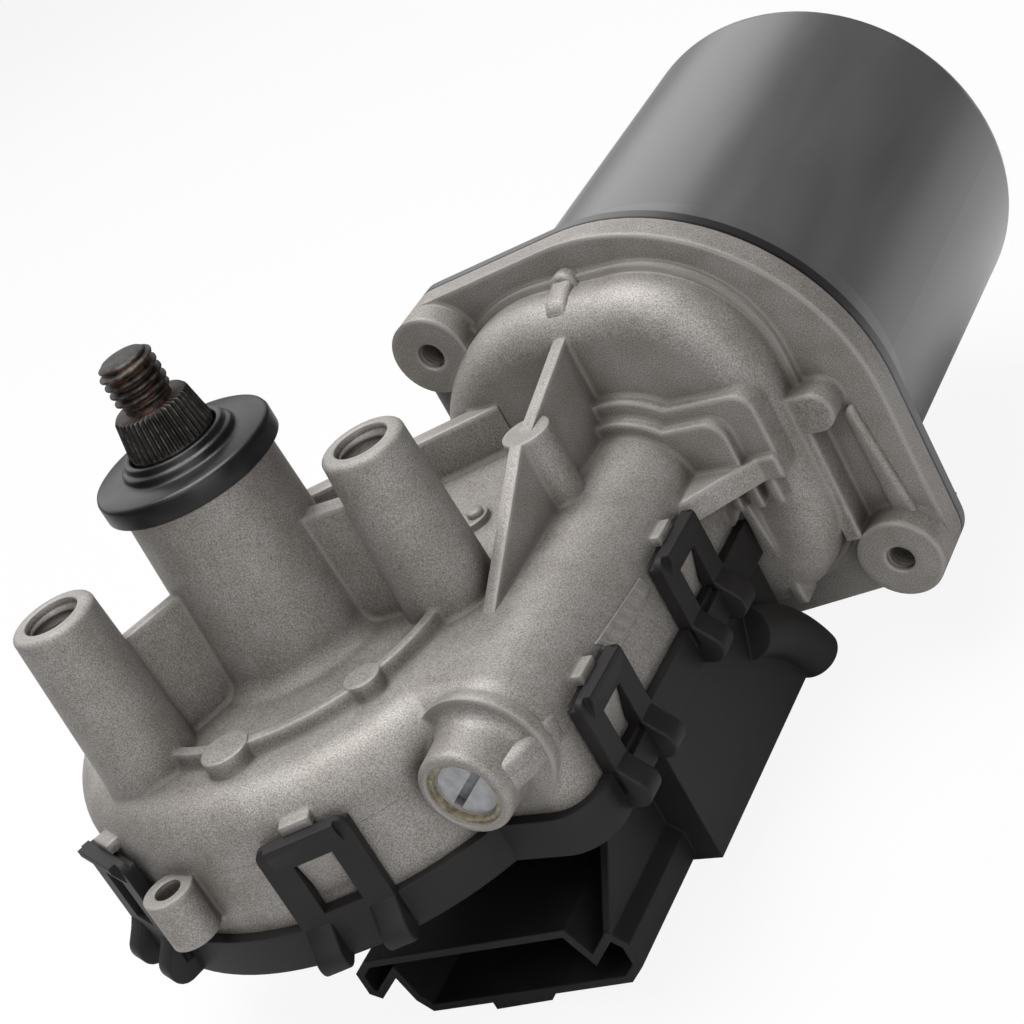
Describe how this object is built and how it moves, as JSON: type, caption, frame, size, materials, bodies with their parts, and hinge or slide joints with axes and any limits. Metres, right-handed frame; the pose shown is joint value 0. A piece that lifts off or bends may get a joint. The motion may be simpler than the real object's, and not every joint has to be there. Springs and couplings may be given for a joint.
{
  "type": "wiper motor",
  "caption": "Windscreen wiper motor: round worm gearbox in a ribbed die-cast housing with mounting bosses, threaded output stud and a flanged motor can set at a right angle.",
  "frame": {"origin": "where the output shaft axis meets the plane of the three mounting boss faces", "axes": "+Z along the output shaft towards its threaded end, +Y along the armature towards the motor can, +X from the output axis towards the worm"},
  "size_m": [0.1107, 0.1726, 0.0972],
  "materials": {
    "die_cast_aluminium": "sand-cast matt",
    "black_nylon": "satin",
    "black_rubber": "satin",
    "tinned_brass": "bright",
    "spring_bronze": "bright",
    "sintered_bronze": "matt, oily",
    "oiled_steel": "dark oiled",
    "white_acetal": "satin",
    "ground_steel": "ground",
    "silicon_steel": "varnished",
    "enamelled_copper": "enamelled",
    "copper_bars": "turned",
    "yellow_sealant": "glossy",
    "black_painted_steel": "semi-gloss",
    "brown_phenolic": "matt",
    "wire_insulation": "glossy",
    "zinc_steel": "zinc plated",
    "spring_steel": "bright",
    "ferrite": "matt",
    "carbon": "matt"
  },
  "bodies": {
    "housing": {"brush_leads": "wire_insulation", "brush_plate": "brown_phenolic", "can_gasket": "black_rubber", "common_brush": "carbon", "common_brush_guide": "tinned_brass", "common_brush_spring": "spring_steel", "connector_terminals": "tinned_brass", "contact_plate": "black_nylon", "cover_seal": "black_rubber", "gear_cover": "black_nylon", "gear_housing": "die_cast_aluminium", "high_speed_brush": "carbon", "high_speed_brush_guide": "tinned_brass", "high_speed_brush_spring": "spring_steel", "left_magnet": "ferrite", "locking_sealant": "yellow_sealant", "low_speed_brush": "carbon", "low_speed_brush_guide": "tinned_brass", "low_speed_brush_spring": "spring_steel", "lower_can_screw": "zinc_steel", "lower_choke": "ferrite", "lower_magnet_spring": "spring_steel", "lower_shaft_bush": "sintered_bronze", "middle_bearing": "sintered_bronze", "motor_can": "black_painted_steel", "park_contacts": "spring_bronze", "rear_bearing": "sintered_bronze", "right_magnet": "ferrite", "seal_cap": "black_rubber", "upper_can_screw": "zinc_steel", "upper_choke": "ferrite", "upper_magnet_spring": "spring_steel", "upper_shaft_bush": "sintered_bronze", "worm_bush": "sintered_bronze"},
    "armature": {"armature_shaft": "ground_steel", "lamination_stack": "silicon_steel", "windings": "enamelled_copper", "commutator": "copper_bars", "thrust_ball": "ground_steel"},
    "output": {"output_shaft": "oiled_steel", "worm_wheel": "white_acetal", "park_contact_disc": "tinned_brass", "lower_thrust_washer": "oiled_steel", "upper_thrust_washer": "oiled_steel", "retaining_ring": "oiled_steel"},
    "adjuster": {"thrust_screw": "white_acetal"}
  },
  "joints": [
    {"name": "armature_spin", "type": "hinge", "parent": "housing", "child": "armature", "pos_m": [0.036, 0, -0.0346], "axis": [0, 1, 0], "continuous": true},
    {"name": "output_spin", "type": "hinge", "parent": "housing", "child": "output", "pos_m": [0, 0, 0], "axis": [0, 0, 1], "continuous": true},
    {"name": "adjuster_turn", "type": "hinge", "parent": "housing", "child": "adjuster", "pos_m": [0.036, -0.0222, -0.0346], "axis": [0, 1, 0], "range_deg": [-180, 180]}
  ],
  "couplings": [
    {"joint": "output_spin", "follows": "armature_spin", "ratio": -0.02}
  ]
}
